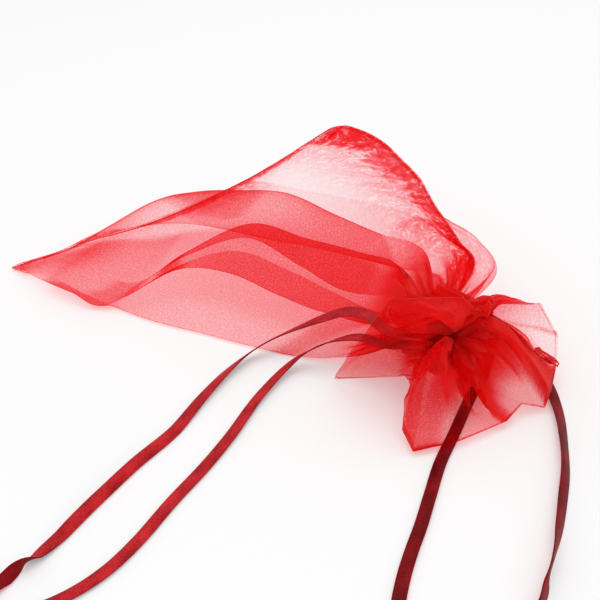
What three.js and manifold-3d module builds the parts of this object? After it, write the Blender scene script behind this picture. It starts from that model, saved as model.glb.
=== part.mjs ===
// A sheer drawstring gift pouch that lies on its side with its mouth drawn shut.
// The cloth is one folded sheet: a closed bottom seam, a puffed body, a gathered neck and a flared
// frill. Two ribbons run round the neck, and each comes out at one side as two tails that end in a
// shared knot. Millimetres, +Z up, lying on z = 0, built round the neck's place on that surface.

import * as THREE from 'three';
import { mergeVertices } from 'three/addons/utils/BufferGeometryUtils.js';
import Module from 'manifold-3d';

// Driving dimensions
const POUCH_WIDTH = 100;          // bottom seam from corner to corner
const BODY_LENGTH = 121;          // near fold from the bottom corner to the neck
const HEADER_LENGTH = 25;         // frill from the casing to its edge
const CASING_EASE = 0.65;         // room in the ribbon channel between ribbons and stitches
const CLOTH_THICKNESS = 1.2;      // folded cloth at the bottom seam and in the frill
const NECK_RADIUS = 5.5;          // gathered cloth under the ribbons
const NECK_HEIGHT = 13.5;         // neck's centre above the surface
const BACK_CORNER_RISE = 27.5;    // far end of the bottom seam above its near end
const CROWN_HEIGHT = 10;          // upper side above the plane through fold and seam
const SAG_DEPTH = 20;             // under side below that plane, until it meets the surface
const NEAR_BULGE = 6;             // how far the near fold bows out beside the bottom seam
const NEAR_TUCK = 4;              // how far it tucks in before the neck
const FAR_BULGE = 19;             // how far the far seam bows out between its ends
const FRILL_FLOOR_GAP = 2.2;      // room under the frill's lower edge, where ribbon passes
const FRILL_FLARE = 55;           // degrees between the frill's sides and the neck's axis
const FRILL_TOP_FLARE = 30;       // degrees where the top of the frill droops forward
const PETAL_SWING = 13;           // degrees that the petals swing forward and back
const PETALS = 7;                 // petals round the frill
const RIBBON_WIDTH = 2.5;
const RIBBON_THICKNESS = 0.4;
const KNOT_LENGTH = 7;
const KNOT_WIDTH = 5;
const KNOT_HEIGHT = 3.6;
const KNOT_END_LENGTH = 9;        // loose ribbon ends that the knot holds
const KNOT_END_SPREAD = 24;       // degrees between each loose end and the knot's own run
const THREAD_DIAMETER = 0.7;      // sewing thread rows
const SEAM_DIAMETER = 1.2;        // overlocked edge of the bottom and side seams
const SEAT_GAP = 0.3;             // clearance between pieces that touch

// Directions in which the pouch lies, in degrees from +X seen from above
const NEAR_FOLD_BEARING = 151.6;  // from the neck to the near bottom corner
const BOTTOM_SEAM_BEARING = 18.6; // from the near to the far bottom corner
const MOUTH_BEARING = -49.5;      // from the neck out through the mouth

// Where along the body, 0 at the bottom seam and 1 at the neck, the shape changes
const FOLD_LIFTS = 0.7;           // the near fold leaves the surface
const GATHER_STARTS = 0.4;        // the cloth begins to bunch up towards the neck
const SECTION_ROUNDS = 0.75;      // the sharp-edged section begins to turn round
const NEAR_BULGE_SKEW = 0.6;      // below 1, a bow sits nearer the bottom seam
const NEAR_TUCK_SKEW = 4;         // above 1, nearer the neck
const FAR_BULGE_SKEW = 1.5;

// Mesh fineness
const RING_POINTS = 56;
const BODY_RINGS = 18;
const FRILL_RINGS = 6;
const TAIL_STEPS = 50;
const BOTTOM_SEAM_STEPS = 20;
const SIDE_SEAM_POINTS = 14;
const SIDE_SEAM_STEPS = 36;
const THREAD_SIDES = 8;
const BAND_STEPS = 40;
const MERGE_DISTANCE = 1e-4;

// Ribbon routes, each from the casing to its knot
const LEFT_UPPER_ROUTE = [
  [-7.6, -4.6, 14.2], [-10.8, -3.4, 14.5], [-13.4, 1.6, 14.2], [-15.4, 6.4, 13.5], [-19.6, 10.8, 11.9],
  [-24.4, 13.2, 9], [-30, 14.2, 6], [-36.4, 13.2, 3.3], [-41.2, 9.8, 1.9], [-45.6, 3.6, 1.2],
  [-50.6, -7, 0.9], [-55.8, -20, 0.6], [-62, -31, 0.5], [-67.6, -42, 0.5], [-72.6, -52, 0.6],
  [-76.6, -59, 0.8], [-80, -63.8, 1], [-83, -68.6, 1.5], [-85.4, -73.6, 2.2],
];
const LEFT_LOWER_ROUTE = [
  [-7.4, -4.6, 12.6], [-9.8, -4.2, 11.9], [-12.8, -1.4, 10.8], [-15.4, 2.4, 9.8], [-18.8, 5.4, 8.4],
  [-24.2, 7.6, 5.6], [-29.6, 6.8, 3], [-33, 3.8, 1.6], [-38.8, -7, 0.8], [-44, -21, 0.6],
  [-48.4, -31.2, 0.5], [-53.6, -41.8, 0.5], [-58.8, -53.4, 0.5], [-63.2, -61, 0.6], [-68.4, -66.6, 0.6],
  [-74.4, -70.6, 0.7], [-80.4, -73, 0.9], [-85.6, -74.4, 1.2],
];
const RIGHT_INNER_ROUTE = [
  [8, 4.8, 12.4], [10.2, 5.6, 9.4], [11.6, 4.8, 6.2], [11.1, 2.2, 3.4], [9.2, -1.4, 1.3], [7, -5.6, 0.7],
  [4.5, -11.8, 0.6], [1.4, -20, 0.6], [-2.6, -30, 0.5], [-5.6, -40, 0.5], [-8.2, -48.8, 0.5], [-10.6, -56, 0.5],
  [-12.6, -63, 0.5], [-14, -70, 0.5], [-14.2, -76, 0.5], [-12.8, -82, 0.8], [-10.2, -87.8, 1.2],
];
const RIGHT_OUTER_ROUTE = [
  [8.9, 5.7, 14], [12.4, 8.2, 12.2], [16.2, 9, 8.8], [19.6, 7.6, 5.4], [22.2, 4.2, 2.6], [23.6, -0.4, 1.1],
  [24.2, -6, 0.7], [24, -13.6, 0.6], [23, -22, 0.6], [21.2, -32.6, 0.6], [18.8, -41.6, 0.6],
  [16.6, -49.2, 0.7], [14.4, -56, 0.8], [12.2, -62, 0.9], [10, -68, 0.7], [7, -74.4, 0.6], [2.4, -80, 0.8],
  [-3.4, -84, 1.3], [-8, -88.4, 2.1],
];

const CLOTH_FINISH = { color: 0xd8141c, roughness: 0.55, metalness: 0, transparent: true, opacity: 0.5 };
const RIBBON_FINISH = { color: 0x8e0f1e, roughness: 0.4, metalness: 0 };
const THREAD_FINISH = { color: 0xb3121c, roughness: 0.7, metalness: 0 };

const wasm = await Module();
wasm.setup();

const { lerp, smoothstep, degToRad } = THREE.MathUtils;

function bearing(degrees) {
  return new THREE.Vector3(Math.cos(degToRad(degrees)), Math.sin(degToRad(degrees)), 0);
}

const UP = new THREE.Vector3(0, 0, 1);
const MOUTH = bearing(MOUTH_BEARING);
const FAR = bearing(MOUTH_BEARING + 90);
const NECK = new THREE.Vector3(0, 0, NECK_HEIGHT);
const CASING_WIDTH = 2 * (RIBBON_WIDTH + CASING_EASE + THREAD_DIAMETER) + SEAT_GAP;
const TAIL_OFFSET = (RIBBON_THICKNESS + SEAT_GAP) / 2;
const LOOP_PITCH = RIBBON_WIDTH + SEAT_GAP;
const SEAM_CLEARANCE = SEAM_DIAMETER / 2 + SEAT_GAP;

// Ends of the near fold and the far seam: the two bottom corners and the two sides of the neck
const nearCorner = bearing(NEAR_FOLD_BEARING).multiplyScalar(BODY_LENGTH).setZ(CLOTH_THICKNESS / 2);
const farCorner = bearing(BOTTOM_SEAM_BEARING)
  .multiplyScalar(Math.sqrt(POUCH_WIDTH ** 2 - BACK_CORNER_RISE ** 2))
  .setZ(BACK_CORNER_RISE)
  .add(nearCorner);
const casingStart = NECK.clone().addScaledVector(MOUTH, -CASING_WIDTH / 2);
const nearNeck = casingStart.clone().addScaledVector(FAR, -NECK_RADIUS);
const farNeck = casingStart.clone().addScaledVector(FAR, NECK_RADIUS);

// A bow of height 1 between two ends, moved towards one of them by its skew
function bow(share, skew = 1) {
  return Math.sin(Math.PI * share ** skew);
}

// Near fold, 0 at the bottom seam and 1 at the neck: flat on the surface, then up to the neck
function nearFold(share) {
  const point = nearCorner.clone().lerp(nearNeck, share);
  const tuck = NEAR_TUCK * bow(share, NEAR_TUCK_SKEW);
  const bulge = NEAR_BULGE * bow(share, NEAR_BULGE_SKEW);
  point.addScaledVector(FAR, tuck - bulge);
  point.z = lerp(nearCorner.z, nearNeck.z, smoothstep(share, FOLD_LIFTS, 1));
  return point;
}

// Far seam: falls from the raised back corner to the neck and bows out most near the neck
function farSeam(share) {
  const point = farCorner.clone().lerp(farNeck, share);
  return point.addScaledVector(FAR, FAR_BULGE * bow(share, FAR_BULGE_SKEW));
}

// Section of the body from fold to seam: a sharp-edged lens that rounds off towards the neck
function bodyRing(share) {
  const near = nearFold(share);
  const far = farSeam(share);
  const bunch = lerp(CLOTH_THICKNESS / 2, NECK_RADIUS, smoothstep(share, GATHER_STARTS, 1));
  const crown = bunch + CROWN_HEIGHT * bow(share);
  const sag = bunch + SAG_DEPTH * bow(share);
  const sharpness = lerp(2, 1, smoothstep(share, SECTION_ROUNDS, 1));
  return ringAngles().map((angle) => {
    const point = near.clone().lerp(far, (1 + Math.cos(angle)) / 2);
    const swell = Math.abs(Math.sin(angle)) ** sharpness;
    const rise = Math.sin(angle) > 0 ? crown * swell : -sag * swell;
    return point.setZ(Math.max(point.z + rise, 0));
  });
}

// Ring of the frill at a length beyond the casing. The lower petals reach the room that is kept
// above the surface and go forward from there. Wall 0 is the outside and 1 the inside.
function frillRing(reach, wall) {
  return ringAngles().map((angle) => {
    const droop = lerp(FRILL_FLARE, FRILL_TOP_FLARE, Math.max(Math.sin(angle), 0));
    const flare = degToRad(droop + PETAL_SWING * Math.cos(PETALS * angle));
    const down = -Math.sin(angle);
    const room = down > 0 ? (NECK_HEIGHT - FRILL_FLOOR_GAP) / down : Infinity;
    const bend = Math.max((room - NECK_RADIUS) / Math.sin(flare), 0);
    const spread = Math.min(reach, bend);
    const slope = reach > bend ? 0 : flare;
    const offset = wall * CLOTH_THICKNESS;
    const advance = spread * Math.cos(flare) + (reach - spread) + offset * Math.sin(slope);
    const radius = NECK_RADIUS + spread * Math.sin(flare) - offset * Math.cos(slope);
    return neckPoint(angle, radius, CASING_WIDTH / 2 + advance);
  });
}

function neckPoint(angle, radius, along) {
  return NECK.clone()
    .addScaledVector(FAR, radius * Math.cos(angle))
    .addScaledVector(UP, radius * Math.sin(angle))
    .addScaledVector(MOUTH, along);
}

function ringAngles() {
  return Array.from({ length: RING_POINTS }, (_, index) => (2 * Math.PI * index) / RING_POINTS);
}

function ringShares(count) {
  return Array.from({ length: count }, (_, index) => (index + 1) / count);
}

// One closed skin from the flat bottom seam, over the body and neck, out along the frill and back in
function clothGeometry() {
  const body = [0, ...ringShares(BODY_RINGS)].map(bodyRing);
  const reaches = ringShares(FRILL_RINGS).map((share) => share * HEADER_LENGTH);
  const casingEnd = frillRing(0, 0);
  const outside = reaches.map((reach) => frillRing(reach, 0));
  const inside = reaches.map((reach) => frillRing(reach, 1)).reverse();
  const rings = [...body, casingEnd, ...outside, ...inside];
  const plug = neckPoint(0, 0, CASING_WIDTH / 2 + CLOTH_THICKNESS);

  const points = [...rings.flat(), plug];
  const triangles = [];
  const next = (index) => (index + 1) % RING_POINTS;
  for (let ring = 0; ring + 1 < rings.length; ring += 1) {
    const low = ring * RING_POINTS;
    const high = low + RING_POINTS;
    for (let index = 0; index < RING_POINTS; index += 1) {
      triangles.push(low + index, low + next(index), high + next(index));
      triangles.push(low + index, high + next(index), high + index);
    }
  }
  const last = (rings.length - 1) * RING_POINTS;
  for (let index = 0; index < RING_POINTS; index += 1) {
    triangles.push(last + index, last + next(index), points.length - 1);
  }
  for (let index = 0; index < RING_POINTS / 2; index += 1) {
    const below = (RING_POINTS - index) % RING_POINTS;
    const belowNext = RING_POINTS - index - 1;
    if (index > 0) {
      triangles.push(index, below, belowNext);
    }
    if (index + 1 < RING_POINTS / 2) {
      triangles.push(index, belowNext, index + 1);
    }
  }
  const geometry = new THREE.BufferGeometry().setFromPoints(points);
  geometry.setIndex(triangles);
  return geometry;
}

function namedMesh(name, geometry, finish) {
  const mesh = new THREE.Mesh(geometry, new THREE.MeshStandardMaterial(finish));
  mesh.name = name;
  return mesh;
}

// Ribbon that lies round the neck and leaves a gap for its two tails on one side
function loopGeometry() {
  const inner = NECK_RADIUS + SEAT_GAP;
  const outer = inner + RIBBON_THICKNESS;
  const gap = Math.asin((TAIL_OFFSET + RIBBON_THICKNESS / 2 + SEAT_GAP) / inner);
  const band = new THREE.Shape();
  band.absarc(0, 0, outer, gap, 2 * Math.PI - gap, false);
  band.absarc(0, 0, inner, 2 * Math.PI - gap, gap, true);
  return new THREE.ExtrudeGeometry(band, {
    depth: RIBBON_WIDTH,
    bevelEnabled: false,
    curveSegments: BAND_STEPS,
  });
}

// A ribbon's run, which keeps the ribbon's width level
class RibbonRun extends THREE.CatmullRomCurve3 {
  computeFrenetFrames(segments) {
    const tangents = [0, ...ringShares(segments)].map((share) => this.getTangentAt(share));
    const binormals = tangents.map((tangent) => UP.clone().cross(tangent).normalize());
    const normals = tangents.map((tangent, index) => binormals[index].clone().cross(tangent));
    return { tangents, normals, binormals };
  }
}

// Ribbon section: flat, with cut corners
function ribbonSection() {
  const flat = RIBBON_THICKNESS / 2;
  const wide = RIBBON_WIDTH / 2;
  const cut = RIBBON_THICKNESS / 4;
  return new THREE.Shape([
    [flat, cut - wide], [flat, wide - cut], [flat - cut, wide], [cut - flat, wide],
    [-flat, wide - cut], [-flat, cut - wide], [cut - flat, -wide], [flat - cut, -wide],
  ].map(([x, y]) => new THREE.Vector2(x, y)));
}

function sweep(section, extrudePath, steps) {
  return new THREE.ExtrudeGeometry(section, { steps, extrudePath, bevelEnabled: false });
}

// A tail leaves the neck through the gap in its own loop, above or below its twin
function tailPoints(route, side, level, along) {
  const exit = NECK.clone()
    .addScaledVector(FAR, side * (NECK_RADIUS + SEAT_GAP))
    .addScaledVector(MOUTH, along)
    .addScaledVector(UP, level * TAIL_OFFSET);
  return [exit, ...route.map((point) => new THREE.Vector3(...point))];
}

function solid(geometry) {
  const bare = geometry.clone();
  bare.deleteAttribute('normal');
  bare.deleteAttribute('uv');
  const merged = mergeVertices(bare, MERGE_DISTANCE);
  return new wasm.Manifold(new wasm.Mesh({
    numProp: 3,
    vertProperties: new Float32Array(merged.attributes.position.array),
    triVerts: new Uint32Array(merged.index.array),
  }));
}

function solidGeometry(body) {
  const mesh = body.getMesh();
  const geometry = new THREE.BufferGeometry();
  geometry.setAttribute('position', new THREE.BufferAttribute(mesh.vertProperties, 3));
  geometry.setIndex(new THREE.BufferAttribute(mesh.triVerts, 1));
  return geometry;
}

// Overhand knot with two loose ribbon ends, one above the other, along its own +X on its own z = 0
function knotGeometry() {
  const middle = KNOT_HEIGHT / 2;
  const lump = new THREE.SphereGeometry(1, 20, 12)
    .scale(KNOT_LENGTH / 2, KNOT_WIDTH / 2, middle)
    .translate(0, 0, middle);
  const ends = [-1, 1].map((side) => new THREE.BoxGeometry(KNOT_END_LENGTH, RIBBON_WIDTH, RIBBON_THICKNESS)
    .translate(KNOT_END_LENGTH / 2 + KNOT_LENGTH / 4, 0, middle + side * TAIL_OFFSET)
    .rotateZ(side * degToRad(KNOT_END_SPREAD)));
  const joined = ends.reduce((body, end) => body.add(solid(end)), solid(lump));
  return solidGeometry(joined);
}

// The pair's routes end at the back of the knot, which goes on along their mean direction
function placeKnot(knot, routes) {
  const ends = routes.map((points) => points.at(-1));
  const heading = routes
    .map((points) => points.at(-1).clone().sub(points.at(-2)).setZ(0).normalize())
    .reduce((sum, direction) => sum.add(direction))
    .normalize();
  const back = ends[0].clone().add(ends[1]).multiplyScalar(0.5).setZ(0);
  const furthest = Math.max(...ends.map((end) => end.clone().sub(back).dot(heading)));
  knot.position.copy(back).addScaledVector(heading, furthest + SEAT_GAP + KNOT_LENGTH / 2);
  knot.rotation.z = Math.atan2(heading.y, heading.x);
}

// Overlocked edge that follows a seam just outside the cloth
function seamGeometry(points, steps) {
  const section = new THREE.Shape().absarc(0, 0, SEAM_DIAMETER / 2, 0, 2 * Math.PI, false);
  const outline = new THREE.Shape(section.getPoints(THREAD_SIDES / 2).slice(0, -1));
  return sweep(outline, new THREE.CatmullRomCurve3(points, false, 'centripetal'), steps);
}

function bottomSeamPoints() {
  const away = nearCorner.clone().add(farCorner).setZ(0).normalize();
  return ringShares(BOTTOM_SEAM_STEPS).slice(0, -1).map((share) => nearCorner.clone()
    .lerp(farCorner, share)
    .addScaledVector(away, SEAM_CLEARANCE));
}

// The side seam's edge turns in towards the neck, so its clearance is square to the seam's own run
function sideSeamPoints() {
  const nudge = 1 / SIDE_SEAM_STEPS;
  return ringShares(SIDE_SEAM_POINTS).slice(0, -2).map((share) => {
    const run = farSeam(share + nudge).sub(farSeam(share - nudge)).setZ(0).normalize();
    const outward = new THREE.Vector3(-run.y, run.x, 0);
    return farSeam(share).addScaledVector(outward, SEAM_CLEARANCE);
  });
}

const bag = new THREE.Group();
bag.add(namedMesh('pouch_cloth', clothGeometry(), CLOTH_FINISH));
bag.add(namedMesh('bottom_seam_thread', seamGeometry(bottomSeamPoints(), BOTTOM_SEAM_STEPS), THREAD_FINISH));
bag.add(namedMesh('side_seam_thread', seamGeometry(sideSeamPoints(), SIDE_SEAM_STEPS), THREAD_FINISH));

// Pieces round the neck, in its own axes: +X to the far side, +Y up, +Z out through the mouth
const neck = new THREE.Group();
neck.position.copy(NECK);
neck.quaternion.setFromRotationMatrix(new THREE.Matrix4().makeBasis(FAR, UP, MOUTH));
bag.add(neck);

const threadRing = NECK_RADIUS + SEAT_GAP + THREAD_DIAMETER / 2;
for (const [name, along] of [['casing_thread_lower', -1], ['casing_thread_upper', 1]]) {
  const ring = new THREE.TorusGeometry(threadRing, THREAD_DIAMETER / 2, THREAD_SIDES, RING_POINTS);
  const thread = namedMesh(name, ring, THREAD_FINISH);
  thread.position.z = (along * (CASING_WIDTH - THREAD_DIAMETER)) / 2;
  neck.add(thread);
}

// Each ribbon: the loop that the casing holds, its two free tails and their knot
const cords = new THREE.Group();
const RIBBONS = [
  { name: 'left', side: -1, tails: { upper: LEFT_UPPER_ROUTE, lower: LEFT_LOWER_ROUTE } },
  { name: 'right', side: 1, tails: { outer: RIGHT_OUTER_ROUTE, inner: RIGHT_INNER_ROUTE } },
];
for (const ribbon of RIBBONS) {
  const along = (ribbon.side * LOOP_PITCH) / 2;
  const loop = namedMesh(`${ribbon.name}_ribbon_loop`, loopGeometry(), RIBBON_FINISH);
  loop.position.z = along - RIBBON_WIDTH / 2;
  loop.rotation.z = ribbon.side > 0 ? 0 : Math.PI;
  neck.add(loop);

  const routes = Object.values(ribbon.tails)
    .map((route, index) => tailPoints(route, ribbon.side, index === 0 ? 1 : -1, along));
  Object.keys(ribbon.tails).forEach((tail, index) => {
    const run = new RibbonRun(routes[index], false, 'centripetal');
    const geometry = sweep(ribbonSection(), run, TAIL_STEPS);
    cords.add(namedMesh(`${ribbon.name}_ribbon_${tail}_tail`, geometry, RIBBON_FINISH));
  });
  const knot = namedMesh(`${ribbon.name}_ribbon_knot`, knotGeometry(), RIBBON_FINISH);
  placeKnot(knot, routes);
  cords.add(knot);
}

// The middle of the bag's footprint is the origin
const pouch = new THREE.Group();
pouch.add(bag, cords);
bag.updateMatrixWorld(true);
const footprint = new THREE.Box3().setFromObject(bag, true);
const middle = footprint.getCenter(new THREE.Vector3());
pouch.position.set(-middle.x, -middle.y, -footprint.min.z);

export default pouch;
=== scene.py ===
import math

import bpy
import numpy as np
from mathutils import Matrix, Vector, noise


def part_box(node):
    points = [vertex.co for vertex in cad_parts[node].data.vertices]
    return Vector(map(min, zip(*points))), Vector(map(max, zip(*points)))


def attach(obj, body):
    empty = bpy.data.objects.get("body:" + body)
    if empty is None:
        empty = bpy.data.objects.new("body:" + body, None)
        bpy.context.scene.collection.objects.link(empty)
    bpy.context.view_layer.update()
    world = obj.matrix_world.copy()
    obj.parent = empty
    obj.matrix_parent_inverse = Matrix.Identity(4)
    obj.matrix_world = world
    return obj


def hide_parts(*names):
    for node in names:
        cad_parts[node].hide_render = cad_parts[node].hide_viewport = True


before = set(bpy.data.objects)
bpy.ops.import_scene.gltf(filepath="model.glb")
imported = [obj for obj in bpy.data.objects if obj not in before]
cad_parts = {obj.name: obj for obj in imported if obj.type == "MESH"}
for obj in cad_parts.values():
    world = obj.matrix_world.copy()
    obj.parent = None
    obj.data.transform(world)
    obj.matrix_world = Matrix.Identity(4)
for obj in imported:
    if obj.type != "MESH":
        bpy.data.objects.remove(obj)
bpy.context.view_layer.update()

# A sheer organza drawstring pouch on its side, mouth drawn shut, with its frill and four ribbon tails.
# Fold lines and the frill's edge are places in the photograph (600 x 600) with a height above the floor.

MM = 0.001

# Camera of the photograph, placed from the neck's spot on the floor
PHOTO_SIZE = 600
FOCAL_PIXELS = 1100
CAMERA_TILT = math.radians(28)
CAMERA_NEAR = 5 * MM
CAMERA_FROM_NECK = np.array([-29.9, -204.3, 129.2]) * MM

# Neck: its centre is the centre of the two rings of casing thread
MOUTH_BEARING = math.radians(-49.5)
MOUTH = np.array([math.cos(MOUTH_BEARING), math.sin(MOUTH_BEARING), 0])
FAR = np.array([-MOUTH[1], MOUTH[0], 0])
UP = np.array([0.0, 0.0, 1.0])
LEVEL = np.array([1, 1, 0])
CASING_WIDTH = 8 * MM
RING_BOXES = [np.array(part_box(node)) for node in ("casing_thread_lower", "casing_thread_upper")]
NECK = (np.min(RING_BOXES, axis=(0, 1)) + np.max(RING_BOXES, axis=(0, 1))) / 2
NECK_FLOOR = NECK * LEVEL
CAMERA = NECK_FLOOR + CAMERA_FROM_NECK

# Ribbons: width, thickness and routes in millimetres from the neck's spot on the floor
RIBBON_WIDTH = 2.5 * MM
RIBBON_THICKNESS = 0.3 * MM
LEFT_UPPER_ROUTE = [
    (-5.3, -2.7, 13.9),
    (-7.6, -4.6, 14.2), (-10.8, -3.4, 14.5), (-13.4, 1.6, 14.2), (-15.4, 6.4, 13.5), (-19.6, 10.8, 11.9),
    (-24.4, 13.2, 9), (-30, 14.2, 6), (-36.4, 13.2, 3.3), (-41.2, 9.8, 1.9), (-45.6, 3.6, 1.2),
    (-50.6, -7, 0.9), (-55.8, -20, 0.6), (-62, -31, 0.5), (-67.6, -42, 0.5), (-72.6, -52, 0.6),
    (-76.6, -59, 0.8), (-80, -63.8, 1), (-83, -68.6, 1.5), (-85.4, -73.6, 2.2),
]
LEFT_LOWER_ROUTE = [
    (-5.3, -2.7, 13.2),
    (-7.4, -4.6, 12.6), (-9.8, -4.2, 11.9), (-12.8, -1.4, 10.8), (-15.4, 2.4, 9.8), (-18.8, 5.4, 8.4),
    (-24.2, 7.6, 5.6), (-29.6, 6.8, 3), (-33, 3.8, 1.6), (-38.8, -7, 0.8), (-44, -21, 0.6),
    (-48.4, -31.2, 0.5), (-53.6, -41.8, 0.5), (-58.8, -53.4, 0.5), (-63.2, -61, 0.6), (-68.4, -66.6, 0.6),
    (-74.4, -70.6, 0.7), (-80.4, -73, 0.9), (-85.6, -74.4, 1.2),
]
RIGHT_INNER_ROUTE = [
    (5.3, 2.7, 13.2),
    (8, 4.8, 12.4), (10.2, 5.6, 9.4), (11.6, 4.8, 6.2), (11.1, 2.2, 3.4), (9.2, -1.4, 1.3), (7, -5.6, 0.7),
    (4.5, -11.8, 0.6), (1.4, -20, 0.6), (-2.6, -30, 0.5), (-5.6, -40, 0.5), (-8.2, -48.8, 0.5),
    (-10.6, -56, 0.5), (-12.6, -63, 0.5), (-14, -70, 0.5), (-14.2, -76, 0.5), (-12.8, -82, 0.8),
    (-10.2, -87.8, 1.2),
]
RIGHT_OUTER_ROUTE = [
    (5.3, 2.7, 13.9),
    (8.9, 5.7, 14), (12.4, 8.2, 12.2), (16.2, 9, 8.8), (19.6, 7.6, 5.4), (22.2, 4.2, 2.6), (23.6, -0.4, 1.1),
    (24.2, -6, 0.7), (24, -13.6, 0.6), (23, -22, 0.6), (21.2, -32.6, 0.6), (18.8, -41.6, 0.6),
    (16.6, -49.2, 0.7), (14.4, -56, 0.8), (12.2, -62, 0.9), (10, -68, 0.7), (7, -74.4, 0.6), (2.4, -80, 0.8),
    (-3.4, -84, 1.3), (-8, -88.4, 2.1),
]

# How the tails turn about their own run: (share of the length, degrees from level); at 180 the ribbon's
# darker side, with painted shade, faces up
LEFT_UPPER_ROLL = [(0, 0), (0.06, -20), (0.12, -40), (0.2, -25), (0.27, 20), (0.34, 41), (0.42, 20), (0.5, 0),
                   (0.7, -34), (0.82, -14), (0.874, 35), (0.895, 100), (0.915, 150), (0.95, 180), (1, 180)]
LEFT_LOWER_ROLL = [(0, 0), (0.08, -15), (0.13, -15), (0.2, 30), (0.28, 20), (0.36, 12), (0.5, 0), (1, 0)]
# The right ribbon lies with its darker side up, the copy with painted shade
RIGHT_INNER_ROLL = [(0, 180), (1, 180)]
RIGHT_OUTER_ROLL = [(0, 180), (0.25, 180), (0.33, 156), (0.42, 136), (0.59, 132), (0.64, 120), (0.69, 96),
                    (0.735, 93), (0.76, 112), (0.79, 108), (0.88, 180), (1, 180)]

# Ribbon loops in the casing
LOOP_RADIUS = 6 * MM
LOOP_PITCH = 2.8 * MM
LOOP_GAP = 8.5

# Knots at the tails' ends
KNOT_LENGTH = 7 * MM
KNOT_WIDTH = 5 * MM
KNOT_HEIGHT = 3.6 * MM
KNOT_GAP = 0.5 * MM
KNOT_REACH = 0.84
KNOT_RISE = 0.22
KNOT_LEAN_UP = 0.75
KNOT_LEAN_OUT = 0.65
KNOT_RIBBON = 0.8
KNOT_ENTRY = 0.94
KNOT_END_LENGTH = 9 * MM
KNOT_END_SPREAD = math.radians(24)
KNOT_END_STARTS = 0.1
KNOT_END_LEVEL = 0.2
KNOT_END_DROP = 0.8

# Cloth: cut size and how finely its mesh is divided
CLOTH_ROUND = 200 * MM
PANEL_COLUMNS = 160
COLUMNS = 2 * PANEL_COLUMNS
BODY_ROWS = 120
CASING_ROWS = 8
FRILL_ROWS = 26
INNER_CASING_ROWS = 6
CLEARANCE = 0.25 * MM

# Fold lines: mesh columns to the next one, then (share of the body's length, photo x, photo y, height in mm)
NEAR_FOLD = (40, [
    (0, 12, 268, 0.6), (0.1, 50, 277, 0.4), (0.2, 84, 294, 0.4), (0.32, 112, 306, 0.4), (0.44, 152, 321, 0.5),
    (0.56, 200, 333, 0.5), (0.68, 250, 346, 0.5), (0.8, 303, 357, 0.6), (0.9, 350, 356, 3)])
CREST_B = (8, [
    (0, 16, 266, 0.8), (0.1, 38, 278, 2.2), (0.2, 70, 291.5, 2.6), (0.32, 107, 305, 1.5), (0.44, 178, 266, 8),
    (0.56, 236, 251, 11.5), (0.68, 290, 271, 11), (0.8, 335, 293, 10), (0.9, 378, 312, 10.5)])
VALLEY_B = (16, [
    (0, 20, 264.5, 0.9), (0.1, 42, 272, 4), (0.2, 74, 284, 4.8), (0.32, 113, 301, 2.2), (0.44, 177, 270, 6.5),
    (0.56, 228, 273, 8), (0.68, 278, 295, 7), (0.8, 322, 312, 6.5), (0.9, 370, 322, 8)])
CREST_A = (8, [
    (0, 25, 263, 1.0), (0.1, 50, 265, 5.2), (0.2, 83, 275, 6.8), (0.32, 122, 293, 4.2),
    (0.44, 186, 252, 10.5), (0.56, 250, 223.5, 16.5), (0.68, 306, 238, 17.5), (0.8, 356, 251, 18),
    (0.9, 400, 265, 17.5)])
VALLEY_A = (10, [
    (0, 32, 261, 1.1), (0.1, 62, 259, 6), (0.2, 95, 265, 8.4), (0.32, 134, 282, 6.4), (0.44, 188, 255, 9.4),
    (0.56, 247, 238, 13), (0.68, 300, 266, 12), (0.8, 345, 291, 11), (0.9, 391, 296, 12.5)])
SADDLE = (12, [
    (0, 55, 254, 1.3), (0.1, 88, 244, 6.5), (0.2, 122, 238, 10.4), (0.32, 165, 238, 11.5),
    (0.44, 212, 220, 15), (0.56, 268, 216, 17), (0.68, 318, 230, 17.5), (0.8, 366, 248, 17.5),
    (0.9, 408, 264, 18)])
CREST_TOP = (18, [
    (0, 82, 243.5, 1.8), (0.1, 118, 222, 6.5), (0.2, 160, 200, 11.5), (0.32, 199, 191.5, 16),
    (0.44, 238, 190, 19.5), (0.56, 287, 193, 21.5), (0.68, 334, 214, 21.5), (0.8, 381, 234, 21.5),
    (0.9, 421, 248, 21)])
TROUGH = (24, [
    (0, 150, 223, 4), (0.1, 178, 222, 4), (0.2, 208, 226, 4.5), (0.32, 240, 233, 5), (0.44, 270, 240, 6),
    (0.56, 312, 247, 7), (0.68, 358, 258, 8.5), (0.8, 402, 269, 11), (0.9, 436, 275, 14)])
SAIL = (24, [
    (0, 245, 180, 15.5), (0.2, 290, 176, 16.5), (0.44, 340, 188, 17.5), (0.56, 368, 200, 18),
    (0.68, 400, 216, 18), (0.8, 430, 234, 17.5), (0.9, 455, 254, 16.5)])
FAR_SEAM = (30, [
    (0, 329, 129.5, 28.2), (0.03, 337.5, 126, 28.6), (0.1, 356, 129.5, 28.5), (0.2, 380, 141, 28),
    (0.32, 401, 160, 26.5), (0.44, 420, 180, 25), (0.56, 433, 203, 23), (0.68, 446, 222, 21.5),
    (0.8, 460, 243, 20.5), (0.9, 474, 266, 19)])
SAIL_BACK = (36, [
    (0, 245, 180, 15.3), (0.2, 300, 190, 10), (0.44, 372, 204, 10), (0.56, 412, 214, 12),
    (0.68, 450, 226, 14), (0.8, 478, 244, 13), (0.9, 495, 276, 11)])
FLOOR_FAR = (54, [
    (0, 110, 236, 2.5), (0.2, 200, 230, 0.5), (0.44, 285, 240, 0.4), (0.68, 370, 264, 0.4),
    (0.8, 405, 282, 1.2), (0.9, 430, 300, 4)])
FLOOR_NEAR = (40, [
    (0, 45, 256, 0.9), (0.2, 130, 268, 0.35), (0.44, 215, 285, 0.3), (0.68, 300, 308, 0.3),
    (0.8, 345, 320, 0.8), (0.9, 385, 328, 3.5)])
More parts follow.
